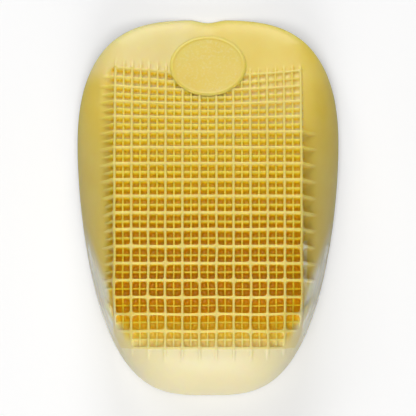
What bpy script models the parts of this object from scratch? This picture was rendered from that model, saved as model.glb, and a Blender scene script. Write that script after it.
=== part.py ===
"""A moulded rubber heel cup, lying on its rim with its waffle side up.

Metres, +Z up. The front lip points to +Y and the heel to -Y. The origin is on the surface that the
cup lies on, under the middle of its outline. The cup is one piece: a thin bowl for the heel, with a
waffle of crossed ribs on its outer side and a smooth oval pad in front of the waffle.
"""

import math

import bmesh
import bpy
import numpy as np

MM = 0.001

LENGTH = 104.0 * MM
WIDTH = 72.0 * MM
HEIGHT = 26.0 * MM
# The outline is widest this far ahead of its middle.
WIDEST_AHEAD = 16.8 * MM
# The crown line is highest this far ahead of the heel's end.
CREST_FROM_HEEL = 21.5 * MM
# The lip's thickness at the front, and the wall's at the rim, under the waffle and in front of it.
LIP = 2.1 * MM
RIM_WALL = 1.8 * MM
FLOOR_WALL = 2.3 * MM
FRONT_WALL = 1.7 * MM
# How high the rim lifts off the surface along the sides.
RIM_LIFT = 5.0 * MM
# How much higher the crown's sides are than its middle, at the front.
SADDLE = 2.2 * MM
# How far the smooth skin in front of and behind the waffle lies under the ribs' tips.
SKIN_DROP = 0.35 * MM

PITCH = 4.62 * MM
RIB_TIP = 0.6 * MM
RIB_FOOT = 0.86 * MM
DEEPEST = 5.5 * MM
# The share of their depth that the first rows' cells lack at the right side.
RIGHT_SHALLOW = 0.7
FIRST_ROW_FROM_LIP = 15.7 * MM
LAST_ROW_FROM_HEEL = 14.0 * MM
SIDE_LEDGE = 10.6 * MM
FIN = 3.5 * MM
# Depths under this are level, and outer lines keep this far inside the outline and each other.
LEVEL = 0.08 * MM
EDGE_MARGIN = 1.0 * MM
LINE_MARGIN = 0.6 * MM

OVAL_FROM_LIP = 14.3 * MM
OVAL_HALF_WIDTH = 10.5 * MM
OVAL_HALF_LENGTH = 9.2 * MM
OVAL_RISE = 0.22 * MM
# How much wall stays under the oval pad's root.
OVAL_FLOOR = 1.0 * MM
# The gate's trim leaves a shallow hollow in the front edge.
TRIM_HALF_WIDTH = 5.2 * MM
TRIM_DEPTH = 0.8 * MM

# Exponents of the outline: across, and along it ahead of and behind its widest place.
ACROSS = 3.25
ALONG_FRONT = 2.35
ALONG_BACK = 1.8
# Where the crown line's arc ends, as a share of the run from the crest to the lip.
ARC_SHARE = 0.69

# Tables by the place along the cup: -1 at the heel's end, 1 at the lip.
# place, gauge where the wall starts to fall, how suddenly it turns down, and how it meets the rim
WALLS = (
    (-1.0, 0.60, 3.0, 0.50), (-0.54, 0.60, 2.8, 0.50), (-0.38, 0.58, 2.3, 0.50), (-0.18, 0.56, 1.7, 0.65),
    (0.05, 0.56, 1.4, 0.80), (0.45, 0.56, 1.4, 0.80), (0.72, 0.60, 2.0, 0.70), (1.0, 0.70, 4.0, 0.50),
)
# place, rim height as a share of RIM_LIFT
RIM_HEIGHTS = ((-1.0, 0.0), (-0.54, 0.0), (-0.38, 0.16), (-0.1, 0.6), (0.3, 1.0), (1.0, 1.0))
# Tables by the place along the waffle: 0 at its first row, 1 at its last.
# place, cell depth as a share of DEEPEST
DEPTHS = (
    (0.0, 0.33), (0.12, 0.36), (0.24, 0.42), (0.35, 0.52), (0.47, 0.67),
    (0.59, 0.84), (0.71, 0.96), (0.82, 1.0), (0.88, 0.84), (0.94, 0.45), (1.0, 0.2),
)
# place, saddle as a share of SADDLE
SADDLES = ((0.0, 1.0), (0.06, 0.93), (0.12, 0.7), (0.18, 0.46), (0.29, 0.15), (0.36, 0.0), (1.0, 0.0))
# The sides' first and last row with a fin, counted from the front.
FIN_ROWS = {"left": (1, 13), "right": (4, 13)}
# share of the oval's radius, share of OVAL_RISE: a flat middle with a bead round it
OVAL_SECTION = ((0.45, 0.6), (0.84, 0.6), (0.89, 1.0), (0.95, 1.0), (1.0, 0.55))

# Shares of the way from the waffle to the edge, and from the edge to the bowl's middle.
SKIRT_STEPS = (0.2, 0.4, 0.6, 0.77, 0.9, 0.97, 1.0)
BOWL_STEPS = (0.985, 0.94, 0.87, 0.78, 0.66, 0.52, 0.36, 0.18)

WIDEST_Y = WIDEST_AHEAD
FRONT_HALF = LENGTH / 2 - WIDEST_AHEAD
BACK_HALF = LENGTH / 2 + WIDEST_AHEAD
CREST_Y = CREST_FROM_HEEL - LENGTH / 2
CREST_TO_LIP = LENGTH / 2 - CREST_Y


def through(table, at, column=1):
    """A smooth curve through a table's points, from its first column to another, level past its ends."""
    x, y = np.array(table, float).T[[0, column]]
    slope = np.gradient(y, x)
    slope[[0, -1]] = 0.0
    at = np.clip(at, x[0], x[-1])
    i = np.clip(np.searchsorted(x, at, side="right") - 1, 0, len(x) - 2)
    step = x[i + 1] - x[i]
    u = (at - x[i]) / step
    start = (1 + 2 * u) * (1 - u) ** 2 * y[i] + u * (1 - u) ** 2 * step * slope[i]
    end = u**2 * (3 - 2 * u) * y[i + 1] + u**2 * (u - 1) * step * slope[i + 1]
    return start + end


def smoothstep(t):
    t = np.clip(t, 0.0, 1.0)
    return t * t * (3 - 2 * t)


def bisect(inside, low, high, rounds=50):
    """The place between low and high where inside turns false, for single values or arrays."""
    for _ in range(rounds):
        middle = (low + high) / 2
        keep = inside(middle)
        low = np.where(keep, middle, low)
        high = np.where(keep, high, middle)
    return (low + high) / 2


def crown_drop(slope):
    """How far an arc and then a straight line at this slope fall between the crest and the lip."""
    arc = ARC_SHARE * CREST_TO_LIP * np.tan(slope / 2)
    return arc + (1 - ARC_SHARE) * CREST_TO_LIP * np.tan(slope)


FRONT_SLOPE = float(bisect(lambda a: crown_drop(a) < HEIGHT - LIP, 0.0, math.radians(80)))
CREST_RADIUS = ARC_SHARE * CREST_TO_LIP / math.sin(FRONT_SLOPE)
ARC_END = CREST_RADIUS * FRONT_SLOPE
LIP_RUN = ARC_END + (1 - ARC_SHARE) * CREST_TO_LIP / math.cos(FRONT_SLOPE)
FIRST_ROW = LIP_RUN - FIRST_ROW_FROM_LIP
CELLS_ALONG = round((FIRST_ROW - LAST_ROW_FROM_HEEL + CREST_FROM_HEEL) / PITCH)
CELLS_ACROSS = round((WIDTH - 2 * SIDE_LEDGE) / PITCH)
LAST_RIB = CELLS_ACROSS * PITCH / 2
END_STEP = 0.25 * RIB_FOOT / (CELLS_ALONG * PITCH)


def crown_at_run(run):
    """y, z and slope of the crown line, this far along it from the crest towards the lip."""
    slope = np.minimum(run / CREST_RADIUS, FRONT_SLOPE)
    straight = np.maximum(run - ARC_END, 0.0)
    y = CREST_Y + CREST_RADIUS * np.sin(slope) + straight * np.cos(slope)
    z = HEIGHT - CREST_RADIUS * (1 - np.cos(slope)) - straight * np.sin(slope)
    return y, z, slope


def run_at(y):
    """How far along the crown line this y is."""
    ahead = y - CREST_Y
    on_arc = CREST_RADIUS * np.arcsin(np.clip(ahead / CREST_RADIUS, -1.0, math.sin(FRONT_SLOPE)))
    past = np.maximum(ahead - ARC_SHARE * CREST_TO_LIP, 0.0)
    return on_arc + past / math.cos(FRONT_SLOPE)


def waffle_place(y):
    """0 at the waffle's first row and 1 at its last."""
    return (FIRST_ROW - run_at(y)) / (CELLS_ALONG * PITCH)


def gauge(x, y, inset=0.0):
    """0 at the outline's widest line's middle and 1 on the outline, moved in by inset."""
    ahead = y - WIDEST_Y
    half = np.where(ahead > 0, FRONT_HALF, BACK_HALF) - inset
    along = np.where(ahead > 0, ALONG_FRONT, ALONG_BACK)
    across = np.abs(x / (WIDTH / 2 - inset)) ** ACROSS
    return (across + np.abs(ahead / half) ** along) ** (1 / ALONG_BACK)


def half_width(y):
    """Half the outline's width at this y."""
    ahead = y - WIDEST_Y
    half = np.where(ahead > 0, FRONT_HALF, BACK_HALF)
    along = np.where(ahead > 0, ALONG_FRONT, ALONG_BACK)
    share = np.clip(1 - np.abs(ahead / half) ** along, 0.0, 1.0)
    return WIDTH / 2 * share ** (1 / ACROSS)


def dome(x, y, inset=0.0):
    """1 over the middle, falling to 0 at the outline: 1 less a power of the wall's share, to a power."""
    place = y / (LENGTH / 2)
    start, turn, fall = (through(WALLS, place, column) for column in (1, 2, 3))
    share = np.clip((gauge(x, y, inset) - start) / (1 - start), 0.0, 1.0)
    return (1 - share**turn) ** fall


def crown(x, y):
    """Height of the ribs' tips before the edges round off."""
    _, z, _ = crown_at_run(run_at(y))
    lift = SADDLE * through(SADDLES, waffle_place(y))
    return z + lift * np.sin(np.pi / 2 * np.minimum(np.abs(x) / (0.42 * WIDTH), 1.0)) ** 2


def rim_height(x, y):
    """Height of the rim: lifted along the sides, and following the lip round the front."""
    side = RIM_LIFT * through(RIM_HEIGHTS, y / (LENGTH / 2))
    return np.maximum(np.minimum(side, crown(x, y) - LIP), 0.0)


def cell_depth(x, y):
    """How far the cells' floors, and the skin round the waffle, lie under the ribs' tips.

    The depth changes to the skin's under the first and the last rib, and slowly beside the waffle.
    """
    place = waffle_place(y)
    right = smoothstep((x / LAST_RIB + 0.2) / 1.1) * (1 - smoothstep(place / 0.3))
    depth = DEEPEST * through(DEPTHS, place) * (1 - RIGHT_SHALLOW * right)
    # The back corners fill in: the deep part narrows over the last rows.
    deep_half = (0.78 - 1.69 * (place - 0.82)) * WIDTH / 2
    depth = depth * (1 - smoothstep((np.abs(x) - deep_half) / (0.11 * WIDTH / 2)))
    beside = 0.12 * smoothstep((np.abs(x) - LAST_RIB - RIB_FOOT / 2) / FIN)
    from_end = 0.5 - np.abs(place - 0.5)
    return SKIN_DROP + (depth - SKIN_DROP) * smoothstep((from_end + END_STEP) / (beside + END_STEP))


def tip_height(x, y):
    rim = rim_height(x, y)
    return rim + (crown(x, y) - rim) * dome(x, y)


def floor_height(x, y):
    rim = rim_height(x, y)
    return rim + (crown(x, y) - cell_depth(x, y) - rim) * dome(x, y)


def bowl_height(x, y):
    """The foot's side: the same form inside the wall, with no ramp behind the deepest row."""
    rim = rim_height(x, y)
    place = waffle_place(y)
    depth = DEEPEST * through(DEPTHS, np.minimum(place, 0.82))
    depth = depth + (SKIN_DROP - depth) * smoothstep(-place / 0.15)
    wall = FRONT_WALL + (FLOOR_WALL - FRONT_WALL) * smoothstep(place / 0.2)
    top = np.maximum(crown(x, y) - depth - wall, rim)
    return rim + (top - rim) * dome(x, y, RIM_WALL)


def trim_hollow(x):
    """How far the gate's trim cuts into the front edge."""
    return TRIM_DEPTH * (1 - smoothstep(np.abs(x) / TRIM_HALF_WIDTH))


def lines_across():
    """x of the waffle's lengthwise lines at the ribs' tips and feet, with a fin line at each side."""
    ribs = np.arange(CELLS_ACROSS + 1) * PITCH - LAST_RIB
    fin = ribs[-1] + RIB_TIP / 2 + FIN
    tips = np.stack([ribs - RIB_TIP / 2, ribs + RIB_TIP / 2], axis=1).ravel()
    feet = np.stack([ribs - RIB_FOOT / 2, ribs + RIB_FOOT / 2], axis=1).ravel()
    return np.hstack([-fin, tips, fin]), np.hstack([-fin, feet, fin])


def runs_along():
    """Runs of the waffle's crosswise lines at the ribs' tips and feet, from the heel to the front."""
    ribs = FIRST_ROW - np.arange(CELLS_ALONG, -1, -1) * PITCH
    tips = np.stack([ribs - RIB_TIP / 2, ribs + RIB_TIP / 2], axis=1).ravel()
    feet = np.stack([ribs - RIB_FOOT / 2, ribs + RIB_FOOT / 2], axis=1).ravel()
    return tips, feet


def kept_inside(x, y):
    """x moved in where a side's three outer lines would come too near the outline."""
    x = x.copy()
    limit = half_width(y[0]) - EDGE_MARGIN
    for line in range(3):
        x[line] = np.maximum(x[line], -limit)
        x[-1 - line] = np.minimum(x[-1 - line], limit)
        limit = limit - LINE_MARGIN
    return x


def waffle_grid():
    """Points of the waffle's lines at the ribs' tips and on the floor, and where the two are level."""
    tip_x, foot_x = lines_across()
    tip_run, foot_run = runs_along()
    y, _, _ = crown_at_run(tip_run)
    x, y = np.broadcast_arrays(tip_x[:, None], y[None])
    x = kept_inside(x, y)
    tips = np.stack([x, y, tip_height(x, y)], axis=-1)
    y, _, slope = crown_at_run(foot_run)
    x, y = np.broadcast_arrays(foot_x[:, None], y[None])
    x = kept_inside(x, y)
    # The ribs stand square to the crown line, so their feet lie further back than their tips.
    depth = cell_depth(x, y)
    y = y - depth * np.sin(slope) * np.cos(slope)
    floors = np.stack([x, y, floor_height(x, y)], axis=-1)
    level = depth < LEVEL
    level[[0, -1]] = True
    level[:, [0, -1]] = True
    tips[[0, -1]] = floors[[0, -1]]
    return tips, floors, level


def raised_patches(columns, rows):
    """Which of the patches between the lines are rib, not cell floor."""
    rib_column = np.arange(columns) % 2 == 1
    rib_row = np.arange(rows) % 2 == 0
    raised = rib_column[:, None] | rib_row[None]
    from_front = (rows - 1 - np.arange(rows)) // 2
    for side, column in (("left", 0), ("right", -1)):
        first, last = FIN_ROWS[side]
        raised[column] = rib_row & (from_front >= first) & (from_front <= last)
    return raised


class Mesh:
    """Points and faces, gathered before they go into Blender."""

    def __init__(self):
        self.points = []
        self.faces = []

    def add(self, points):
        """Adds an array of points and returns their numbers in the same layout."""
        points = np.asarray(points, float)
        start = len(self.points)
        self.points.extend(points.reshape(-1, 3).tolist())
        return np.arange(start, len(self.points)).reshape(points.shape[:-1])

    def face(self, corners):
        """Adds a face, leaving out corners that repeat."""
        kept = []
        for corner in corners:
            if int(corner) not in kept:
                kept.append(int(corner))
        if len(kept) > 2:
            self.faces.append(kept)

    def strip(self, loop, following):
        """Faces between two closed loops with as many points each."""
        count = len(loop)
        for i in range(count):
            j = (i + 1) % count
            self.face((loop[i], loop[j], following[j], following[i]))

    def fan(self, loop, middle):
        count = len(loop)
        for i in range(count):
            self.face((loop[i], loop[(i + 1) % count], middle))

    def object(self, name):
        work = bmesh.new()
        corners = [work.verts.new(point) for point in self.points]
        for face in self.faces:
            work.faces.new([corners[i] for i in face])
        loose = [corner for corner in corners if not corner.link_faces]
        bmesh.ops.delete(work, geom=loose, context="VERTS")
        bmesh.ops.recalc_face_normals(work, faces=work.faces)
        mesh = bpy.data.meshes.new(name)
        work.to_mesh(mesh)
        work.free()
        obj = bpy.data.objects.new(name, mesh)
        bpy.context.scene.collection.objects.link(obj)
        return obj


def add_waffle(mesh):
    """The crossed ribs and the cell floors. Returns the numbers of the points round its edge."""
    tips, floors, level = waffle_grid()
    high = mesh.add(tips)
    low = np.where(level, high, mesh.add(floors))
    columns, rows = high.shape[0] - 1, high.shape[1] - 1
    raised = raised_patches(columns, rows)
    for i in range(columns):
        for j in range(rows):
            at = high if raised[i, j] else low
            mesh.face((at[i, j], at[i + 1, j], at[i + 1, j + 1], at[i, j + 1]))
            if j and raised[i, j] != raised[i, j - 1]:
                mesh.face((high[i, j], high[i + 1, j], low[i + 1, j], low[i, j]))
            if i and raised[i, j] != raised[i - 1, j]:
                mesh.face((high[i, j], high[i, j + 1], low[i, j + 1], low[i, j]))
    return np.hstack([high[:-1, 0], high[-1, :-1], high[:0:-1, -1], high[0, :0:-1]])


def outward_angles(columns, rows):
    """Angles in which the skirt leaves the waffle: square to it, and turning over at the corners."""
    across = np.linspace(-1, 1, columns + 1) ** 3 * np.pi / 4
    along = np.linspace(-1, 1, rows + 1) ** 3 * np.pi / 4
    back = -np.pi / 2 + across[:-1]
    right = along[:-1]
    front = np.pi / 2 + across[:-1]
    left = np.pi + along[:-1]
    return np.hstack([back, right, front, left])


def add_skirt(mesh, edge, angles):
    """The surface from the waffle's edge down to the rim. Returns the rim's numbers and its points."""
    start = np.array([mesh.points[i] for i in edge])[:, :2]
    way = np.stack([np.cos(angles), np.sin(angles)], axis=1)
    reach = bisect(
        lambda r: gauge(start[:, 0] + r * way[:, 0], start[:, 1] + r * way[:, 1]) < 1.0,
        np.zeros(len(start)),
        np.full(len(start), LENGTH),
    )
    loop = edge
    for step in SKIRT_STEPS:
        place = start + (reach * step)[:, None] * way
        x, y = place.T
        z = floor_height(x, y)
        if step == SKIRT_STEPS[-1]:
            z = rim_height(x, y)
        front = smoothstep((y - WIDEST_Y) / FRONT_HALF)
        points = np.stack([x, y - trim_hollow(x) * front * step**2, z], axis=1)
        following = mesh.add(points)
        mesh.strip(loop, following)
        loop = following
    return loop, points


def add_bowl(mesh, rim, rim_points):
    """The rim's face and the smooth inner side, in rings about the outline's widest place."""
    centre = np.array([0.0, WIDEST_Y])
    spoke = rim_points[:, :2] - centre
    reach = bisect(
        lambda r: gauge(spoke[:, 0] * r, spoke[:, 1] * r + WIDEST_Y, RIM_WALL) < 1.0,
        np.zeros(len(spoke)),
        np.ones(len(spoke)),
    )
    reach = np.minimum(reach, 1 - RIM_WALL / np.linalg.norm(spoke, axis=1))
    loop = rim
    for step in (1.0, *BOWL_STEPS):
        x, y = (centre + spoke * (reach * step)[:, None]).T
        z = rim_height(x, y) if step == 1.0 else bowl_height(x, y)
        following = mesh.add(np.stack([x, y, z], axis=1))
        mesh.strip(loop, following)
        loop = following
    middle = mesh.add([[0.0, WIDEST_Y, float(bowl_height(np.array(0.0), np.array(WIDEST_Y)))]])
    mesh.fan(loop, middle[0])


def oval_loop(share, rise, sides=48):
    """A loop of the oval pad, at a share of its radius and this far out from the crown."""
    turn = np.linspace(0, 2 * np.pi, sides, endpoint=False)
    x = OVAL_HALF_WIDTH * share * np.cos(turn)
    run = LIP_RUN - OVAL_FROM_LIP + OVAL_HALF_LENGTH * share * np.sin(turn)
    y, _, slope = crown_at_run(run)
    z = tip_height(x, y)
    return np.stack([x, y + rise * np.sin(slope), z + rise * np.cos(slope)], axis=1)


def add_oval(mesh):
    """The oval pad: a low dish with a bead round it, rooted in the wall."""
    loops = [oval_loop(share, rise * OVAL_RISE) for share, rise in reversed(OVAL_SECTION)]
    loops.append(oval_loop(0.0, OVAL_SECTION[0][1] * OVAL_RISE, sides=1))
    root = [oval_loop(1.0, 0.0), oval_loop(0.0, 0.0, sides=1)]
    for points in root:
        points[:, 2] = bowl_height(points[:, 0], points[:, 1]) + OVAL_FLOOR
    root_loop, root_middle = mesh.add(root[0]), mesh.add(root[1])
    loop = root_loop
    for points in loops[:-1]:
        following = mesh.add(points)
        mesh.strip(loop, following)
        loop = following
    mesh.fan(loop, mesh.add(loops[-1])[0])
    mesh.fan(root_loop, root_middle[0])


def rubber(name, colour, roughness):
    material = bpy.data.materials.new(name)
    material.use_nodes = True
    shader = material.node_tree.nodes["Principled BSDF"]
    shader.inputs["Base Color"].default_value = (*colour, 1.0)
    shader.inputs["Roughness"].default_value = roughness
    shader.inputs["Metallic"].default_value = 0.0
    return material


def make_oval():
    """The oval pad as a hidden helper, which the cup's union takes in."""
    mesh = Mesh()
    add_oval(mesh)
    oval = mesh.object("oval_helper")
    oval.hide_render = True
    oval.display_type = "WIRE"
    return oval


def make_cup(oval):
    mesh = Mesh()
    edge = add_waffle(mesh)
    columns, rows = 2 * CELLS_ACROSS + 3, 2 * CELLS_ALONG + 1
    rim, rim_points = add_skirt(mesh, edge, outward_angles(columns, rows))
    add_bowl(mesh, rim, rim_points)
    cup = mesh.object("heel_cup")
    union = cup.modifiers.new("oval_union", "BOOLEAN")
    union.operation = "UNION"
    union.solver = "EXACT"
    union.object = oval
    cup.data.materials.append(rubber("yellow_rubber", (0.78, 0.60, 0.12), 0.35))
    cup.data.shade_smooth()
    cup.data.set_sharp_from_angle(angle=math.radians(35))
    return cup


def main():
    for obj in list(bpy.data.objects):
        bpy.data.objects.remove(obj)
    make_cup(make_oval())


main()
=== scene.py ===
"""Looks of a moulded yellow rubber heel cup that lies on its rim, seen from straight above.

Metres, in the frame of the solid model: +Y is the thin front lip, -Y the heel, +Z up out of the
waffle side. The cup is one closed surface, worked out on grids. The oval pad is a second piece.
"""

import math

import bpy
import numpy as np
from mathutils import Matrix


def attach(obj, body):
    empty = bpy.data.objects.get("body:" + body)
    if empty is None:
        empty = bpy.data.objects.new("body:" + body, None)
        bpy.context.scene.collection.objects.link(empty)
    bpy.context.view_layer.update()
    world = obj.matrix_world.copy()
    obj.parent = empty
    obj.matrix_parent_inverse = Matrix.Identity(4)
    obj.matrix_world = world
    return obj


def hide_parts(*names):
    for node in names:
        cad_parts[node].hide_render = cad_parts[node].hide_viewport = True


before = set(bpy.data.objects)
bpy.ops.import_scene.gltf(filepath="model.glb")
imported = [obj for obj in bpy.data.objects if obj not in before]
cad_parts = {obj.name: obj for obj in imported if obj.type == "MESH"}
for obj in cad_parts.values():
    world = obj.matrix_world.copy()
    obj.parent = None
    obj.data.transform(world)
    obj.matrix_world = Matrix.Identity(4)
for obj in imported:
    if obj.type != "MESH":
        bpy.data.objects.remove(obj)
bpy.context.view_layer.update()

MM = 0.001

# The cup's sizes, as in the solid model.
LENGTH = 104.0 * MM
WIDTH = 72.0 * MM
HEIGHT = 26.0 * MM
WIDEST_Y = 16.8 * MM
CREST_FROM_HEEL = 21.5 * MM
LIP = 2.1 * MM
RIM_WALL = 1.8 * MM
FLOOR_WALL = 2.3 * MM
FRONT_WALL = 1.7 * MM
RIM_LIFT = 5.0 * MM
SADDLE = 2.2 * MM
SKIN_DROP = 0.35 * MM
PITCH = 4.62 * MM
DEEPEST = 5.5 * MM
FIRST_ROW_FROM_LIP = 15.7 * MM
CELLS_ALONG = 17
CELLS_ACROSS = 11
FIN = 3.5 * MM
EDGE_MARGIN = 1.0 * MM
OVAL_FROM_LIP = 14.3 * MM
OVAL_HALF_WIDTH = 10.5 * MM
OVAL_HALF_LENGTH = 9.2 * MM
OVAL_RISE = 0.22 * MM
OVAL_FLOOR = 1.0 * MM
TRIM_HALF_WIDTH = 5.2 * MM
TRIM_DEPTH = 0.8 * MM
# The outline's exponents, and the share of the crown line ahead of its crest that is an arc.
ACROSS = 3.25
ALONG_FRONT = 2.35
ALONG_BACK = 1.8
ARC_SHARE = 0.69

# The ribs' sections: half widths at the foot, how far a wall leans in, and how the tip rounds off.
MAJOR_FOOT = 0.39 * MM
MINOR_FOOT = 0.29 * MM
DRAFT = 0.09 * MM
TIP_ROUND = 0.1 * MM
TIP_ROUND_RUN = 0.07 * MM
# Radius of a cell's corners at the front and at the heel.
CORNER_FRONT = 0.2 * MM
CORNER_HEEL = 0.55 * MM
# The corners grow from this place along the waffle, over this part of it.
CORNER_FROM, CORNER_OVER = 0.3, 0.4

# Tables by the place along the cup: -1 at the heel's end, 1 at the lip.
# place, gauge where the wall starts to fall, how suddenly it turns down, and how it meets the rim
WALLS = (
    (-1.0, 0.60, 3.0, 0.50), (-0.54, 0.60, 2.8, 0.50), (-0.38, 0.58, 2.3, 0.50),
    (-0.18, 0.56, 1.7, 0.65), (0.05, 0.56, 1.4, 0.80), (0.45, 0.56, 1.4, 0.80),
    (0.72, 0.60, 2.0, 0.70), (1.0, 0.70, 4.0, 0.50),
)
# place, share of the rim's lift
RIM_HEIGHTS = ((-1.0, 0.0), (-0.54, 0.0), (-0.38, 0.16), (-0.1, 0.6), (0.3, 1.0), (1.0, 1.0))
# Tables by the place along the waffle: 0 at its first row, 1 at its last.
# place, share of the deepest cell's depth
DEPTHS = (
    (0.0, 0.33), (0.12, 0.36), (0.24, 0.42), (0.35, 0.52), (0.47, 0.67),
    (0.59, 0.84), (0.71, 0.96), (0.82, 1.0), (0.88, 0.84), (0.94, 0.45), (1.0, 0.2),
)
# place, share of the saddle's lift
SADDLES = ((0.0, 1.0), (0.06, 0.93), (0.12, 0.7), (0.18, 0.46), (0.29, 0.15), (0.36, 0.0), (1.0, 0.0))
# place, how far the minor ribs' tips lie under the major ribs', in mm
MINOR_RECESS = ((0.0, 0.1), (0.12, 0.3), (0.35, 0.6), (0.6, 1.1), (0.72, 1.7), (0.85, 2.4), (1.0, 0.5))
# Rows with fins beside the waffle, counted from the front; the left side has minor fins too.
FIN_ROWS = {"left": (0.3, 13.6), "right": (3.7, 13.4)}

# Lines of the grid round a major rib, a minor rib and between the two, in mm from the rib's middle,
# and past the last ribs.
MAJOR_LINES = (-0.7, -0.39, -0.3, -0.2, 0.0, 0.2, 0.3, 0.39, 0.7)
MINOR_LINES = (-0.29, -0.2, -0.08, 0.08, 0.2, 0.29)
BETWEEN_LINE = 1.3
SIDE_LINES = (1.2, 1.8, 2.5, 3.2, 3.9, 4.5)
FRONT_LINES = (1.2, 1.8, 2.5, 3.3, 4.2)
BACK_LINES = (1.2, 1.8)
# Rings of the skin round the waffle, and of the bowl.
SKIRT_RINGS = 18
BOWL_RINGS = 12

# The saddle reaches its full lift at this share of the width.
SADDLE_REACH = 0.42
# The cells are deepest at this place. Behind it the deep part narrows from this share of the half
# width, at this rate, and its side walls take up this share.
DEEPEST_PLACE = 0.82
DEEP_HALF, DEEP_NARROWS, DEEP_EDGE = 0.78, 1.69, 0.11
# The first rows' cells lose up to this share of their depth on the right. The loss starts at this
# share of the waffle's half width, grows over this much of it, and ends at this place.
RIGHT_SHALLOW = 0.7
RIGHT_FROM, RIGHT_OVER, RIGHT_END = -0.2, 1.1, 0.3
# Beside the waffle, the change to the skin's depth at its ends takes up this part of its length.
LEDGE_BLEND = 0.12
# The bowl changes to the skin's form over this part ahead of the first row, and its wall is full
# after this part behind it.
BOWL_BLEND, WALL_BLEND = 0.15, 0.2

FRONT_HALF = LENGTH / 2 - WIDEST_Y
BACK_HALF = LENGTH / 2 + WIDEST_Y
CREST_Y = CREST_FROM_HEEL - LENGTH / 2
CREST_TO_LIP = LENGTH / 2 - CREST_Y


def through(table, at, column=1):
    """A smooth curve through a table's points, from its first column to another, level past its ends."""
    x, y = np.array(table, float).T[[0, column]]
    slope = np.gradient(y, x)
    slope[[0, -1]] = 0.0
    at = np.clip(at, x[0], x[-1])
    i = np.clip(np.searchsorted(x, at, side="right") - 1, 0, len(x) - 2)
    step = x[i + 1] - x[i]
    u = (at - x[i]) / step
    start = (1 + 2 * u) * (1 - u) ** 2 * y[i] + u * (1 - u) ** 2 * step * slope[i]
    end = u**2 * (3 - 2 * u) * y[i + 1] + u**2 * (u - 1) * step * slope[i + 1]
    return start + end


def smoothstep(t):
    """0 up to 0 and 1 from 1, with a smooth rise between: three squares less two cubes."""
    t = np.clip(t, 0.0, 1.0)
    return t * t * (3 - 2 * t)


def bisect(inside, low, high, rounds=50):
    """The place between low and high where inside turns false, for single values or arrays."""
    for _ in range(rounds):
        middle = (low + high) / 2
        keep = inside(middle)
        low = np.where(keep, middle, low)
        high = np.where(keep, high, middle)
    return (low + high) / 2


def crown_drop(slope):
    """How far an arc and then a straight line at this slope fall between the crest and the lip."""
    arc = ARC_SHARE * CREST_TO_LIP * np.tan(slope / 2)
    return arc + (1 - ARC_SHARE) * CREST_TO_LIP * np.tan(slope)


FRONT_SLOPE = float(bisect(lambda a: crown_drop(a) < HEIGHT - LIP, 0.0, math.radians(80)))
CREST_RADIUS = ARC_SHARE * CREST_TO_LIP / math.sin(FRONT_SLOPE)
ARC_END = CREST_RADIUS * FRONT_SLOPE
LIP_RUN = ARC_END + (1 - ARC_SHARE) * CREST_TO_LIP / math.cos(FRONT_SLOPE)
FIRST_ROW = LIP_RUN - FIRST_ROW_FROM_LIP
LAST_ROW = FIRST_ROW - CELLS_ALONG * PITCH
LAST_RIB = CELLS_ACROSS * PITCH / 2
END_STEP = 0.5 * MAJOR_FOOT / (CELLS_ALONG * PITCH)


def crown_at_run(run):
    """y, z and slope of the crown line, this far along it from the crest towards the lip.

    An arc of CREST_RADIUS up to FRONT_SLOPE, then a straight line at that slope.
    """
    slope = np.minimum(run / CREST_RADIUS, FRONT_SLOPE)
    straight = np.maximum(run - ARC_END, 0.0)
    y = CREST_Y + CREST_RADIUS * np.sin(slope) + straight * np.cos(slope)
    z = HEIGHT - CREST_RADIUS * (1 - np.cos(slope)) - straight * np.sin(slope)
    return y, z, slope


def run_at(y):
    """How far along the crown line this y is."""
    ahead = y - CREST_Y
    on_arc = CREST_RADIUS * np.arcsin(np.clip(ahead / CREST_RADIUS, -1.0, math.sin(FRONT_SLOPE)))
    past = np.maximum(ahead - ARC_SHARE * CREST_TO_LIP, 0.0)
    return on_arc + past / math.cos(FRONT_SLOPE)


def waffle_place(y):
    """0 at the waffle's first row and 1 at its last."""
    return (FIRST_ROW - run_at(y)) / (CELLS_ALONG * PITCH)


def gauge(x, y, inset=0.0):
    """0 at the widest line's middle and 1 on the outline, a superellipse with a fuller front."""
    ahead = y - WIDEST_Y
    half = np.where(ahead > 0, FRONT_HALF, BACK_HALF) - inset
    along = np.where(ahead > 0, ALONG_FRONT, ALONG_BACK)
    across = np.abs(x / (WIDTH / 2 - inset)) ** ACROSS
    return (across + np.abs(ahead / half) ** along) ** (1 / ALONG_BACK)


def half_width(y):
    """Half the outline's width at this y."""
    ahead = y - WIDEST_Y
    half = np.where(ahead > 0, FRONT_HALF, BACK_HALF)
    along = np.where(ahead > 0, ALONG_FRONT, ALONG_BACK)
    share = np.clip(1 - np.abs(ahead / half) ** along, 0.0, 1.0)
    return WIDTH / 2 * share ** (1 / ACROSS)


def dome(x, y, inset=0.0):
    """1 over the middle, falling to 0 at the outline: 1 less a power of the wall's share, to a power."""
    place = y / (LENGTH / 2)
    start, turn, fall = (through(WALLS, place, column) for column in (1, 2, 3))
    share = np.clip((gauge(x, y, inset) - start) / (1 - start), 0.0, 1.0)
    return (1 - share**turn) ** fall


def crown(x, y):
    """Height of the ribs' tips before the edges round off: the crown line and a mild saddle."""
    _, z, _ = crown_at_run(run_at(y))
    lift = SADDLE * through(SADDLES, waffle_place(y))
    return z + lift * np.sin(np.pi / 2 * np.minimum(np.abs(x) / (SADDLE_REACH * WIDTH), 1.0)) ** 2


def rim_height(x, y):
    """Height of the rim: lifted along the sides, and following the lip round the front."""
    side = RIM_LIFT * through(RIM_HEIGHTS, y / (LENGTH / 2))
    return np.maximum(np.minimum(side, crown(x, y) - LIP), 0.0)


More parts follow.
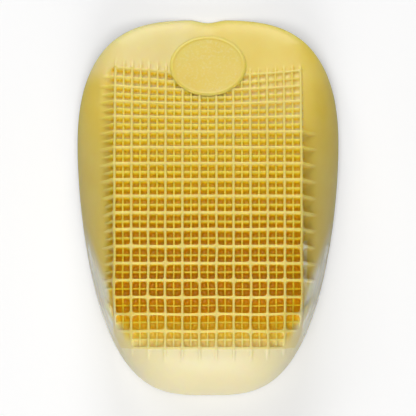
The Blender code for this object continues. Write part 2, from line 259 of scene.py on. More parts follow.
def cell_depth(x, y):
    """How far the cells' floors, and the skin round the waffle, lie under the ribs' tips.

    The depth changes to the skin's under the first and the last rib, and slowly beside the waffle.
    The back corners fill in, because the deep part narrows over the last rows.
    """
    place = waffle_place(y)
    right = smoothstep((x / LAST_RIB - RIGHT_FROM) / RIGHT_OVER) * (1 - smoothstep(place / RIGHT_END))
    depth = DEEPEST * through(DEPTHS, place) * (1 - RIGHT_SHALLOW * right)
    deep_half = (DEEP_HALF - DEEP_NARROWS * (place - DEEPEST_PLACE)) * WIDTH / 2
    depth = depth * (1 - smoothstep((np.abs(x) - deep_half) / (DEEP_EDGE * WIDTH / 2)))
    beside = LEDGE_BLEND * smoothstep((np.abs(x) - LAST_RIB - MAJOR_FOOT) / FIN)
    from_end = 0.5 - np.abs(place - 0.5)
    return SKIN_DROP + (depth - SKIN_DROP) * smoothstep((from_end + END_STEP) / (beside + END_STEP))


def tip_height(x, y):
    """Height of the ribs' tips: the crown, drawn down to the rim by the dome."""
    rim = rim_height(x, y)
    return rim + (crown(x, y) - rim) * dome(x, y)


def floor_height(x, y, depth):
    """Height of the cells' floors and of the skin: the same, this depth under the crown."""
    rim = rim_height(x, y)
    return rim + (crown(x, y) - depth - rim) * dome(x, y)


def bowl_height(x, y):
    """The foot's side: the same form inside the wall, with no ramp behind the deepest row."""
    rim = rim_height(x, y)
    place = waffle_place(y)
    depth = DEEPEST * through(DEPTHS, np.minimum(place, DEEPEST_PLACE))
    depth = depth + (SKIN_DROP - depth) * smoothstep(-place / BOWL_BLEND)
    wall = FRONT_WALL + (FLOOR_WALL - FRONT_WALL) * smoothstep(place / WALL_BLEND)
    top = np.maximum(crown(x, y) - depth - wall, rim)
    return rim + (top - rim) * dome(x, y, RIM_WALL)


def rib_lines(count):
    """Places of the grid's lines across this many cells, from the first rib's middle, in metres."""
    major = np.array(MAJOR_LINES) * MM
    half = PITCH / 2
    minor = half + np.array(MINOR_LINES) * MM
    between = np.array([BETWEEN_LINE * MM, PITCH - BETWEEN_LINE * MM])
    cell = np.hstack([major[major > 0], between, minor, PITCH + major[major < 0]])
    cells = (np.arange(count)[:, None] * PITCH + cell[None]).ravel()
    ribs = np.arange(count + 1) * PITCH
    return np.sort(np.hstack([major[major < 0], cells, ribs, count * PITCH + major[major > 0]]))


def lines_across():
    """The grid's places across: over the ribs and cells, and out over the fins on both sides."""
    ribs = rib_lines(CELLS_ACROSS) - LAST_RIB
    side = LAST_RIB + np.array(SIDE_LINES) * MM
    return np.hstack([-side[::-1], ribs, side])


def runs_along():
    """The grid's places along the crown line, from behind the last row to ahead of the first."""
    ribs = LAST_ROW + rib_lines(CELLS_ALONG)
    back = LAST_ROW - np.array(BACK_LINES[::-1]) * MM
    return np.hstack([back, ribs, FIRST_ROW + np.array(FRONT_LINES) * MM])


def from_rib(place, first, count, shift=0.0):
    """Distance from the nearest of count ribs, a pitch apart, and that rib's number."""
    number = np.clip(np.round((place - first) / PITCH - shift), 0, count - 1)
    return np.abs(place - first - (number + shift) * PITCH), number


def rib_share(across, along, corner):
    """1 on a rib and 0 in a cell, from the signed distances to the two walls' feet.

    The nearer wall counts, and where both are within the corner's radius they join in an arc.
    Also gives how far a point lies inside the ribs' edges.
    """
    reach = corner - np.hypot(np.maximum(corner - across, 0.0), np.maximum(corner - along, 0.0))
    return np.clip(-reach / DRAFT, 0.0, 1.0), -reach - DRAFT


# Within this distance of the middle nothing is squeezed.
UNSQUEEZED = 22.0 * MM
# The last ribs' outer sides, from their middles, and how far they stay inside the grid's edge.
RIB_SIDE = 0.6 * MM
RIB_MARGIN = 0.8 * MM


def squeezed(x, y):
    """x moved in where the waffle's sides would come too near the outline, at the back corners.

    Straight lines lead from the unsqueezed middle to the ribs' sides, and on to the edge.
    """
    limit = half_width(y) - EDGE_MARGIN
    outer = np.abs(x).max()
    kept, rib_edge = UNSQUEEZED, LAST_RIB + RIB_SIDE
    rib_at = np.clip(limit - RIB_MARGIN, kept, rib_edge)
    limit = np.minimum(limit, outer)
    size = np.abs(x)
    near = kept + (size - kept) * (rib_at - kept) / (rib_edge - kept)
    far = rib_at + (size - rib_edge) * (limit - rib_at) / (outer - rib_edge)
    return np.sign(x) * np.where(size < kept, size, np.where(size < rib_edge, near, far))


# The left fins lose up to this share of their length, from this row on, over so many rows.
LEFT_FIN_LOSS = 0.35
LEFT_FIN_FROM, LEFT_FIN_OVER = 6.0, 4.0
# The minor fins' length, as a share of the major fins', and how much of the minor ribs' recess
# they have.
MINOR_FIN = 0.75
MINOR_FIN_RECESS = 0.3
# The power by which a fin's height falls along it.
FIN_FALL = 0.8


def fin_taper(x, length):
    """1 over the waffle, falling to 0 over a fin's length beside it: what is left, to FIN_FALL."""
    beyond = (np.abs(x) - LAST_RIB - MAJOR_FOOT) / length
    return np.clip(1 - beyond, 0.0, 1.0) ** FIN_FALL


# Beads of rubber thicken the ribs by this much at some crossings, over this distance round them,
# on the crosswise ribs ahead of the last one and behind this one, counted from the heel.
BEAD = 0.17 * MM
BEAD_REACH = 0.75 * MM
BEAD_ROWS = 7


def beads(x, run):
    """How much thicker a rib is near the crossings that carry a bead: a bell curve round each.

    A sine of the crossing's two numbers picks about three crossings in ten.
    """
    to_long, column = from_rib(x, -LAST_RIB, CELLS_ACROSS + 1)
    to_cross, row = from_rib(run, LAST_ROW, CELLS_ALONG + 1)
    chosen = (np.sin(3.7 * column + 7.9 * row + 1.3) > 0.6) & (row > 0) & (row < BEAD_ROWS)
    return BEAD * chosen * np.exp(-(to_long**2 + to_cross**2) / BEAD_REACH**2)


def rib_rise(x, run, y):
    """Height of the ribs over the cells' floors, as the higher of the major and the minor ribs.

    Also gives the cells' depth and whether a point lies beside the waffle. Rows are counted from
    the front.
    """
    place = waffle_place(y)
    depth = cell_depth(x, y)
    grown = smoothstep((place - CORNER_FROM) / CORNER_OVER)
    corner = CORNER_FRONT + (CORNER_HEEL - CORNER_FRONT) * grown
    to_long, _ = from_rib(x, -LAST_RIB, CELLS_ACROSS + 1)
    to_cross, _ = from_rib(run, LAST_ROW, CELLS_ALONG + 1)
    row = (FIRST_ROW - run) / PITCH
    beside = np.abs(x) > LAST_RIB + MAJOR_FOOT
    outer = np.abs(x) > LAST_RIB
    low, high = (np.where(x < 0, *sides) for sides in zip(FIN_ROWS["left"], FIN_ROWS["right"]))
    bare = outer & ((row < low) | (row > high))
    to_cross = np.where(bare, PITCH, to_cross)
    foot = MAJOR_FOOT + beads(x, run)
    share, inside = rib_share(to_long - foot, to_cross - foot, corner)
    rounding = TIP_ROUND * np.exp(-np.maximum(inside, 0.0) / TIP_ROUND_RUN)
    shorter = LEFT_FIN_LOSS * smoothstep((row - LEFT_FIN_FROM) / LEFT_FIN_OVER)
    fin = FIN * np.where(x < 0, 1 - shorter, 1.0)
    major = share * (depth - np.minimum(rounding, depth / 2)) * fin_taper(x, fin)
    to_long, _ = from_rib(x, -LAST_RIB, CELLS_ACROSS, 0.5)
    to_cross, _ = from_rib(run, LAST_ROW, CELLS_ALONG, 0.5)
    to_long = np.where(beside, PITCH, to_long)
    to_cross = np.where(bare | (outer & (x > 0)), PITCH, to_cross)
    nearest = np.minimum(to_long, to_cross) - MINOR_FOOT
    recess = np.where(beside, MINOR_FIN_RECESS, 1.0) * through(MINOR_RECESS, place) * MM
    minor = np.clip(-nearest / DRAFT, 0.0, 1.0) * np.maximum(depth - recess, 0.0)
    minor = minor * fin_taper(x, MINOR_FIN * fin)
    return np.maximum(major, minor), depth, beside


# Low ridges carry the ribs on past the first row, by up to this height and length. They rise over
# this distance, and each rib's length varies by this share. On the right they are shorter.
RIDGE = 0.3 * MM
RIDGE_RUN = 2.3 * MM
RIDGE_START = 0.3 * MM
RIDGE_VARIES = 0.35
RIGHT_RIDGE = 0.35
# The ridges' half widths, the minor ones' height as a share, and the height and length behind the
# last row. They fade over this share of the oval's radius round it, and end this far outside the
# last ribs.
RIDGE_HALF = 0.32 * MM
MINOR_RIDGE_HALF = 0.3 * MM
MINOR_RIDGE = 0.6
BACK_RIDGE = 0.4
BACK_RIDGE_RUN = 1.5 * MM
OVAL_CLEAR = 0.1
RIDGE_MARGIN = 0.4 * MM


def ridges(x, run):
    """Height of the low ridges past the first and the last row, bell-shaped across, but for the oval."""
    to_major, number = from_rib(x, -LAST_RIB, CELLS_ACROSS + 1)
    to_minor, _ = from_rib(x, -LAST_RIB, CELLS_ACROSS, 0.5)
    section = np.exp(-((to_major / RIDGE_HALF) ** 2))
    section = section + MINOR_RIDGE * np.exp(-((to_minor / MINOR_RIDGE_HALF) ** 2))
    length = RIDGE_RUN * (1 - RIDGE_VARIES + RIDGE_VARIES * np.sin(2.4 * number + 1.0))
    length = length * np.where(x < 0, 1.0, RIGHT_RIDGE)
    ahead, behind = run - FIRST_ROW, LAST_ROW - run
    front = smoothstep(ahead / RIDGE_START) * np.clip(1 - ahead / length, 0, 1) ** 2
    back = smoothstep(behind / RIDGE_START) * (1 - smoothstep(behind / BACK_RIDGE_RUN))
    from_oval = np.hypot(x / OVAL_HALF_WIDTH, (run - LIP_RUN + OVAL_FROM_LIP) / OVAL_HALF_LENGTH)
    kept = (np.abs(x) < LAST_RIB + RIDGE_MARGIN) * smoothstep((from_oval - 1.0) / OVAL_CLEAR)
    return RIDGE * section * (front + BACK_RIDGE * back) * kept


# How far the first row's middle hangs back behind its ends, and over how many rows that fades.
BOW = 1.3 * MM
BOW_ROWS = 4.5
# The first row's left end stands forward by this much. It starts here, left of the middle, and
# grows over this distance.
LEFT_END = 0.9 * MM
LEFT_END_FROM = 4.0 * MM
LEFT_END_OVER = 12.0 * MM


def bow(x, run):
    """How far the front rows hang back: a parabola across, gone after a few rows.

    The forward stand of the first row's left end is taken off, and is gone after one row.
    """
    row = (FIRST_ROW - run) / PITCH
    forward = LEFT_END * smoothstep((-x - LEFT_END_FROM) / LEFT_END_OVER) * (1 - smoothstep(row))
    return BOW * np.maximum(1 - (x / LAST_RIB) ** 2, 0.0) * (1 - smoothstep(row / BOW_ROWS)) - forward


# How far the ribs drift at the heel. At the front it is this share of that, and it grows from this
# place over this part of the waffle. Lengthwise they drift by this share.
WOBBLE = 0.13 * MM
WOBBLE_FRONT = 0.25
WOBBLE_FROM, WOBBLE_OVER = 0.4, 0.4
WOBBLE_ALONG = 0.7


def waver(x, run):
    """A slow drift of the ribs, across and along, that grows towards the heel.

    Each is a sine of one direction, shifted by a sine of the other, times a cosine.
    """
    place = (FIRST_ROW - run) / (CELLS_ALONG * PITCH)
    grow = WOBBLE * (WOBBLE_FRONT + (1 - WOBBLE_FRONT) * smoothstep((place - WOBBLE_FROM) / WOBBLE_OVER))
    across = np.sin(run / (2.9 * MM) + 1.7 * np.sin(x / (6.1 * MM))) * np.cos(x / (4.3 * MM))
    along = np.sin(x / (3.1 * MM) + 1.3 * np.sin(run / (5.3 * MM))) * np.cos(run / (7.9 * MM))
    return grow * across, WOBBLE_ALONG * grow * along


# How lit a shallow cell's floor is, away from the foot of the rib ahead of it.
LIT = 0.95
# From this place, over this part of the waffle, the floors lose this share of the light.
LIT_LOSS = 0.85
LIT_FROM, LIT_OVER = 0.15, 0.45
# The foot's shadow, and the share of a wall's height over which the light fades.
LIT_SHADOW = 0.6 * MM
LIT_HEIGHT = 0.3


def lit_floor(run, height):
    """Up to LIT where light reaches a cell's floor: rising off the rib ahead, fading up the walls."""
    half = PITCH / 2
    behind_rib = half - np.mod(run - LAST_ROW, half) - MAJOR_FOOT
    place = (FIRST_ROW - run) / (CELLS_ALONG * PITCH)
    shallow = 1 - LIT_LOSS * smoothstep((place - LIT_FROM) / LIT_OVER)
    return LIT * shallow * smoothstep(behind_rib / LIT_SHADOW) * (1 - smoothstep(height / LIT_HEIGHT))


# How far the lengthwise ribs run out past the first row, on the left and on the right.
RIB_END_LEFT = 2.4 * MM
RIB_END_RIGHT = 1.2 * MM
# The drift fades over this distance beside the waffle.
DRIFT_FADES = 2.0 * MM
# Between the fins the painted amber shade is this strong on the right, and fades over this share of a
# fin.
RIGHT_GAP = 0.35
GAP_FADES = 0.8
# A rib counts as a tip from this share of its height on, over this share.
TIP_FROM, TIP_OVER = 0.8, 0.2
# Cells of this depth or more, as a share of the deepest, are fully pale where they are lit.
LIT_DEPTH = 0.33


def waffle_grid():
    """Points of the waffle side, (across, along, 3), and three numbers for each of them.

    The first is the painted shade: how deep in a cell it lies, less where lit. The second is 1 on a
    rib's tip, 0 in a cell and -1 outside the waffle. The third says how lit a cell's floor is.

    A point goes from the cell's floor towards the rib's tip by its rib's height, square to the
    crown line, because the ribs stand square to it.
    """
    x, run = np.meshgrid(lines_across(), runs_along(), indexing="ij")
    y, _, slope = crown_at_run(run)
    rise, depth, beside = rib_rise(x, run, y)
    past_first = (run - FIRST_ROW - MAJOR_FOOT) / np.where(x < 0, RIB_END_LEFT, RIB_END_RIGHT)
    rise = rise * np.clip(1 - past_first, 0.0, 1.0)
    fade = 1 - smoothstep((np.abs(x) - LAST_RIB) / DRIFT_FADES)
    drift_x, drift_run = waver(x, run)
    shown = squeezed(x, y) + drift_x * fade
    held = smoothstep((FIRST_ROW - run) / PITCH) * smoothstep((run - LAST_ROW) / PITCH)
    y_tip = y + drift_run * fade * held - bow(x, run)
    y_foot = y_tip - depth * np.sin(slope) * np.cos(slope)
    tips = np.stack([shown, y_tip, tip_height(shown, y_tip)], axis=-1)
    floors = np.stack([shown, y_foot, floor_height(shown, y_foot, depth)], axis=-1)
    height = np.clip(rise / np.maximum(depth, 1e-6), 0.0, 1.0)
    points = floors + (tips - floors) * height[..., None]
    extra = ridges(x, run)
    points += extra[..., None] * np.stack([np.zeros_like(x), np.sin(slope), np.cos(slope)], axis=-1)
    lit = lit_floor(run, height)
    # Painted shade in the cells: their depth under the rib, less where the floor is lit.
    painted_cell_shade = (depth - rise) / DEEPEST * (1 - lit)
    gap = np.where(x < 0, 1.0, RIGHT_GAP) * (1 - smoothstep((np.abs(x) - LAST_RIB) / (GAP_FADES * FIN)))
    painted_cell_shade = np.where(beside, painted_cell_shade * gap, painted_cell_shade)
    within = ~beside & (run > LAST_ROW - MAJOR_FOOT) & (run < FIRST_ROW + MAJOR_FOOT)
    tip = np.where(within, smoothstep((height - TIP_FROM) / TIP_OVER), -1.0)
    return points, painted_cell_shade, tip, lit * smoothstep(depth / DEEPEST / LIT_DEPTH)


def round_edge(grid):
    """The numbers or points round a grid's edge: along its back, right, front and left."""
    return np.concatenate([grid[:-1, 0], grid[-1, :-1], grid[:0:-1, -1], grid[0, :0:-1]])


def outward_angles(x, run):
    """Angles in which the skirt leaves the waffle: square to it, and turning over at the corners."""
    across = (2 * (x - x[0]) / (x[-1] - x[0]) - 1) ** 3 * np.pi / 4
    along = (2 * (run - run[0]) / (run[-1] - run[0]) - 1) ** 3 * np.pi / 4
    back, right = -np.pi / 2 + across[:-1], along[:-1]
    return np.hstack([back, right, np.pi / 2 + across[:-1], np.pi + along[:-1]])


def trim_hollow(x):
    """How far the gate's trim cuts into the front edge."""
    return TRIM_DEPTH * (1 - smoothstep(np.abs(x) / TRIM_HALF_WIDTH))


def skirt_grid(edge):
    """Rings from the waffle's edge down to the rim, along rays that end on the outline.

    The rings come closer towards the outline, by the square of what is left.
    """
    angles = outward_angles(lines_across(), runs_along())
    way = np.stack([np.cos(angles), np.sin(angles)], axis=1)
    start = edge[:, :2]
    reach = bisect(
        lambda r: gauge(start[:, 0] + r * way[:, 0], start[:, 1] + r * way[:, 1]) < 1.0,
        np.zeros(len(start)),
        np.full(len(start), LENGTH),
    )
    step = 1 - (1 - np.arange(1, SKIRT_RINGS + 1) / SKIRT_RINGS) ** 2
    place = start[None] + (reach[None] * step[:, None])[..., None] * way[None]
    x, y = place[..., 0], place[..., 1]
    z = floor_height(x, y, cell_depth(x, y))
    z[-1] = rim_height(x[-1], y[-1])
    front = smoothstep((y - WIDEST_Y) / FRONT_HALF)
    return np.stack([x, y - trim_hollow(x) * front * step[:, None] ** 2, z], axis=-1)


def bowl_grid(rim):
    """The rim's face and the smooth inner side, in rings that shrink about the widest place."""
    centre = np.array([0.0, WIDEST_Y])
    spoke = rim[:, :2] - centre
    reach = bisect(
        lambda r: gauge(spoke[:, 0] * r, spoke[:, 1] * r + WIDEST_Y, RIM_WALL) < 1.0,
        np.zeros(len(spoke)),
        np.ones(len(spoke)),
    )
    reach = np.minimum(reach, 1 - RIM_WALL / np.linalg.norm(spoke, axis=1))
    step = 1 - (np.arange(BOWL_RINGS) / BOWL_RINGS) ** 2
    place = centre + spoke[None] * (reach[None] * step[:, None])[..., None]
    x, y = place[..., 0], place[..., 1]
    z = bowl_height(x, y)
    z[0] = rim_height(x[0], y[0])
    return np.stack([x, y, z], axis=-1)


def grid_faces(numbers):
    """Quads of a grid of point numbers, as an array of four corners each."""
    return np.stack(
        [numbers[:-1, :-1], numbers[1:, :-1], numbers[1:, 1:], numbers[:-1, 1:]], axis=-1
    ).reshape(-1, 4)


def ring_faces(rings):
    """Quads between closed rings of point numbers, (ring, point)."""
    closed = np.concatenate([rings, rings[:, :1]], axis=1)
    return np.stack(
        [closed[:-1, :-1], closed[:-1, 1:], closed[1:, 1:], closed[1:, :-1]], axis=-1
    ).reshape(-1, 4)


def fan_faces(ring, middle):
    """Triangles from a closed ring to a middle point."""
    return np.stack([ring, np.roll(ring, -1), np.full(len(ring), middle)], axis=-1)


def add_mesh(name, points, quads, triangles):
    """A smooth mesh object from whole arrays of points and faces, its faces pointing out."""
    mesh = bpy.data.meshes.new(name)
    mesh.vertices.add(len(points))
    mesh.vertices.foreach_set("co", points.astype(np.float32).ravel())
    corners = np.hstack([quads.ravel(), triangles.ravel()]).astype(np.int32)
    mesh.loops.add(len(corners))
    mesh.loops.foreach_set("vertex_index", corners)
    mesh.polygons.add(len(quads) + len(triangles))
    starts = np.hstack([np.arange(len(quads)) * 4, len(quads) * 4 + np.arange(len(triangles)) * 3])
    mesh.polygons.foreach_set("loop_start", starts.astype(np.int32))
    mesh.update(calc_edges=True)
    mesh.validate()
    mesh.shade_smooth()
    obj = bpy.data.objects.new(name, mesh)
    bpy.context.scene.collection.objects.link(obj)
    return obj


# Behind this line the skin is painted pale, a painted sheen on the heel's back, over this distance.
BEHIND_FROM = -33.0 * MM
BEHIND_OVER = 4.0 * MM
BEHIND_PALE = 0.5
# A pale band of painted reflection lies on the steep walls beside the heel half. It starts at a
# share of the half width that is the second of these at BAND_Y and falls by BAND_FALL a metre behind
# it, to the first. It is full after BAND_OVER, ends at BAND_END and grows over BAND_GROWS behind that.
BAND_PALE = 0.9
BAND_STARTS = (0.78, 0.97)
BAND_Y = -2.0 * MM
BAND_FALL = 7.5
BAND_OVER = 0.09
BAND_END = 6.0 * MM
BAND_GROWS = 22.0 * MM
# The band is duller towards the rim, from this share of the half width on, and behind the waffle.
RIM_FROM, RIM_OVER, RIM_LOSS = 0.975, 0.02, 0.5
BEHIND_LOSS = 0.4
# A pale strip stands along the outer side of the last rib on the right, from and to these distances.
STRIP_PALE = 0.7
STRIP = (0.3 * MM, 1.6 * MM)
STRIP_Y = -18.0 * MM
STRIP_HALF = 9.0 * MM
# A faint painted sheen lies on the left of the front lip.
SHEEN_PALE = 0.22
SHEEN_FROM_Y, SHEEN_OVER_Y = 33.0 * MM, 6.0 * MM
SHEEN_FROM_X, SHEEN_OVER_X = 3.0 * MM, 12.0 * MM


def painted_sheen(points):
    """How much painted sheen and reflection pales the skin, 0 to 1: the largest of the four pale places
    above.
    """
    x, y = points[:, 0], points[:, 1]
    behind = smoothstep((BEHIND_FROM - y) / BEHIND_OVER)
    reach = np.abs(x) / np.maximum(half_width(y), MM)
    start = np.clip(BAND_STARTS[1] + BAND_FALL * (y - BAND_Y), *BAND_STARTS)
    band = BAND_PALE * smoothstep((reach - start) / BAND_OVER) * smoothstep((BAND_END - y) / BAND_GROWS)
    band = band * (1 - RIM_LOSS * smoothstep((reach - RIM_FROM) / RIM_OVER)) * (1 - BEHIND_LOSS * behind)
    strip = (x > LAST_RIB + STRIP[0]) & (x < LAST_RIB + STRIP[1]) & (np.abs(y - STRIP_Y) < STRIP_HALF)
    sheen = smoothstep((y - SHEEN_FROM_Y) / SHEEN_OVER_Y) * smoothstep((SHEEN_FROM_X - x) / SHEEN_OVER_X)
    skin = np.maximum(BEHIND_PALE * behind, SHEEN_PALE * sheen)
    return np.maximum(skin, np.maximum(band, STRIP_PALE * strip))


# How much paler a rib's tip (a painted highlight), a lit floor (painted light) and the waffle's own
# share of the painted sheen are.
TIP_HIGHLIGHT = 0.12
LIT_PALE = 0.5
WAFFLE_PALE = 0.5
# The front's share rises from this line, over this distance.
FRONT_FROM = -12.0 * MM
FRONT_OVER = 40.0 * MM


def cup_shares(points, painted_cell_shade, tip, lit, bowl_size):
    """The numbers that the material reads on each point, by name. The bowl has no painted sheen."""
    depth = np.zeros(len(points))
    depth[: painted_cell_shade.size] = painted_cell_shade.ravel()
    pale = painted_sheen(points)
    on_waffle = pale[: painted_cell_shade.size]
    tip, lit = tip.ravel(), lit.ravel()
    # Painted highlight on the rib tips, painted light on lit floors, and the waffle's share of the
    # painted sheen.
    own = np.maximum(WAFFLE_PALE * on_waffle, np.maximum(TIP_HIGHLIGHT * tip, LIT_PALE * lit))
    pale[: painted_cell_shade.size] = np.where(tip < 0, on_waffle, own)
    pale[-bowl_size:] = 0.0
    return {
        "painted_cell_shade": depth,
        "painted_sheen": pale,
        "outward": gauge(points[:, 0], points[:, 1]),
        "front": smoothstep((points[:, 1] - FRONT_FROM) / FRONT_OVER),
    }


def write_shares(obj, name, values):
    """One number a point, for the material to read."""
    layer = obj.data.attributes.new(name, "FLOAT", "POINT")
    layer.data.foreach_set("value", np.asarray(values, np.float32))


def make_cup():
    """The cup as one closed mesh: the waffle grid, the skirt's rings and the bowl's rings."""
    waffle, painted_cell_shade, tip, lit = waffle_grid()
    skirt = skirt_grid(round_edge(waffle))
    bowl = bowl_grid(skirt[-1])
    middle = np.array([[0.0, WIDEST_Y, float(bowl_height(np.array(0.0), np.array(WIDEST_Y)))]])
    deck_numbers = np.arange(waffle[..., 0].size).reshape(waffle.shape[:2])
    ring_points = np.concatenate([skirt, bowl])
    ring_numbers = deck_numbers.size + np.arange(ring_points[..., 0].size).reshape(ring_points.shape[:2])
    rings = np.concatenate([round_edge(deck_numbers)[None], ring_numbers])
    points = np.concatenate([waffle.reshape(-1, 3), ring_points.reshape(-1, 3), middle])
    quads = np.concatenate([grid_faces(deck_numbers), ring_faces(rings[:, ::-1])])
    triangles = fan_faces(rings[-1, ::-1], len(points) - 1)
    cup = add_mesh("cup_shell", points, quads, triangles)
    for name, values in cup_shares(points, painted_cell_shade, tip, lit, bowl[..., 0].size + 1).items():
        write_shares(cup, name, values)
    return cup


# The oval's rings, as shares of its radius, and its bead: middle, width, height over the face, and
# where the pad's edge turns down.
OVAL_SHARES = (0.03, 0.15, 0.3, 0.45, 0.6, 0.72, 0.8, 0.85, 0.875, 0.9, 0.92, 0.94, 0.96, 0.98, 1.0)
OVAL_BEAD, OVAL_BEAD_HALF, OVAL_BEAD_HEIGHT = 0.925, 0.022, 0.45
OVAL_EDGE, OVAL_EDGE_OVER, OVAL_EDGE_DROP = 0.955, 0.045, 0.9
OVAL_POINTS = 160
# Inside this share of its radius the oval's face has a faint grain.
OVAL_INNER = 0.86


def oval_section():
    """Shares of the oval's radius and rises over the crown, in metres.

    A level face and a bell-shaped bead round it, drawn down at the edge.
    """
    share = np.array(OVAL_SHARES)
    bead = np.exp(-(((share - OVAL_BEAD) / OVAL_BEAD_HALF) ** 2))
    edge = 1 - OVAL_EDGE_DROP * smoothstep((share - OVAL_EDGE) / OVAL_EDGE_OVER)
    rise = OVAL_RISE * (1 - OVAL_BEAD_HEIGHT + OVAL_BEAD_HEIGHT * bead) * edge
    return share, rise


def make_oval():
    """The oval pad: its section carried round an ellipse on the crown, and rooted in the wall."""
    share, rise = oval_section()
    turn = np.linspace(0, 2 * np.pi, OVAL_POINTS, endpoint=False)
    share = np.hstack([0.0, share, 1.0])
    rise = np.hstack([rise[0], rise, 0.0])
    x = OVAL_HALF_WIDTH * share[:, None] * np.cos(turn)[None]
    run = LIP_RUN - OVAL_FROM_LIP + OVAL_HALF_LENGTH * share[:, None] * np.sin(turn)[None]
    y, _, slope = crown_at_run(run)
    z = tip_height(x, y) + rise[:, None] * np.cos(slope)
    z[-1] = bowl_height(x[-1], y[-1]) + OVAL_FLOOR
    points = np.stack([x, y + rise[:, None] * np.sin(slope), z], axis=-1)
    top = points[0, 0]
    root = [top[0], top[1], float(bowl_height(top[0], top[1])) + OVAL_FLOOR]
    points = points[1:]
    numbers = np.arange(points[..., 0].size).reshape(points.shape[:2])
    every = np.concatenate([points.reshape(-1, 3), [top, root]])
    triangles = np.concatenate(
        [fan_faces(numbers[0], numbers.size), fan_faces(numbers[-1, ::-1], numbers.size + 1)]
    )
    oval = add_mesh("oval_pad", every, ring_faces(numbers[:, ::-1]), triangles)
    inner = np.zeros(len(every))
    inner[: numbers.size] = np.repeat(share[1:] < OVAL_INNER, len(turn))
    inner[-2] = 1.0
    write_shares(oval, "oval", inner)
    return oval


class Socket:
    """A shader socket that takes arithmetic, each operation adding its Math node."""

    def __init__(self, nodes, socket):
        self.nodes, self.socket = nodes, socket

    def math(self, operation, *values):
        return self.nodes.add("ShaderNodeMath", {"operation": operation}, *values)

    def __add__(self, other):
        return self.math("ADD", self, other)

    __radd__ = __add__

    def __mul__(self, other):
        return self.math("MULTIPLY", self, other)

    __rmul__ = __mul__

    def __sub__(self, other):
        return self.math("SUBTRACT", self, other)

    def __rsub__(self, other):
        return self.math("SUBTRACT", other, self)

    def held(self):
        """The value held between 0 and 1."""
        return self.nodes.add("ShaderNodeClamp", {}, self, 0.0, 1.0)

    def ramp(self, start, gain):
        """0 up to start and rising by gain from there, held between 0 and 1."""
        return ((self - start) * gain).held()


class Nodes:
    """A material's node tree."""

    def __init__(self, name):
        self.material = bpy.data.materials.new(name)
        self.material.use_nodes = True
        self.tree = self.material.node_tree
        self.shader = self.tree.nodes["Principled BSDF"]

    def add(self, kind, settings, *values, out=0, **named):
        """A node of this kind: its settings first, then its sockets by place or by name."""
        node = self.tree.nodes.new(kind)
        for name, value in settings.items():
            setattr(node, name, value)
        for key, value in [*enumerate(values), *named.items()]:
            self.put(node.inputs[key.replace("_", " ") if isinstance(key, str) else key], value)
        return Socket(self, node.outputs[out])

    def put(self, target, value):
        """Links a socket to the target, or sets the target's own value."""
        if isinstance(value, Socket):
            self.tree.links.new(value.socket, target)
        else:
            target.default_value = value

    def set(self, **values):
        """Puts values on the shader's inputs, each named with _ for a space."""
        for name, value in values.items():
            self.put(self.shader.inputs[name.replace("_", " ")], value)

    def mix(self, factor, first, second):
        """A colour between two colours."""
        node = self.tree.nodes.new("ShaderNodeMix")
        node.data_type = "RGBA"
        self.put(node.inputs[0], factor)
        self.put(node.inputs[6], first)
        self.put(node.inputs[7], second)
        return Socket(self, node.outputs[2])

    def noise(self, vector, scale, detail=2.0, roughness=0.5):
        """Smooth noise of this scale at the vector, about 0.5."""
        return self.add(
            "ShaderNodeTexNoise", {}, Vector=vector, Scale=scale, Detail=detail, Roughness=roughness
        )

    def share(self, name):
        """The number that write_shares left on each point."""
        return self.add("ShaderNodeAttribute", {"attribute_name": name}, out=2)


# The skin's two tones, the white of its painted sheen and reflection and of the oval's specks, and the
# painted amber shade of shallow and of deep cells.
PALE = (0.84, 0.62, 0.08, 1.0)
CREAM = (0.88, 0.69, 0.15, 1.0)
SHEEN_AND_SPECK_WHITE = (0.96, 0.95, 0.80, 1.0)
CELL_SHADE_AMBER = (1.0, 0.70, 0.01, 1.0)
DEEP_CELL_SHADE_AMBER = (0.92, 0.55, 0.006, 1.0)
# Scales of the mottle, the grain and the oval's specks, per metre, and of the flow lines, across
# the outline's rings and along the cup.
MOTTLE_SCALE = 90.0
GRAIN_SCALE = 2600.0
SPECK_SCALE = 1500.0
FLOW_ACROSS, FLOW_ALONG = 55.0, 60.0
# Where each change of the rubber's look starts, and its gain from there.
MOTTLE_RAMP = (0.25, 2.0)
AMBER_RAMP = (0.3, 1.6)
STREAK_RAMP = (0.38, 4.5)
BAND_RAMP = (0.52, 5.0)
SPECK_RAMP = (0.5, 5.0)
# The painted amber shade in the cells starts from this depth on. The gain is greater at the front.
AMBER_START = 0.06
AMBER_GAIN, AMBER_FRONT_GAIN = 2.2, 2.6
# Strength of the specks, of the coat on the band's streaks, and of the painted reflection band's loss
# between them.
SPECKS = 0.14
COAT = 0.9
BETWEEN_STREAKS = 0.35
# Roughness: its least, and what the mottle and the flow lines add.
ROUGHNESS, MOTTLE_ROUGH, FLOW_ROUGH = 0.3, 0.12, 0.14
# The bump's shares of flow lines and grain.
FLOW_BUMP, GRAIN_BUMP = 0.8, 0.3


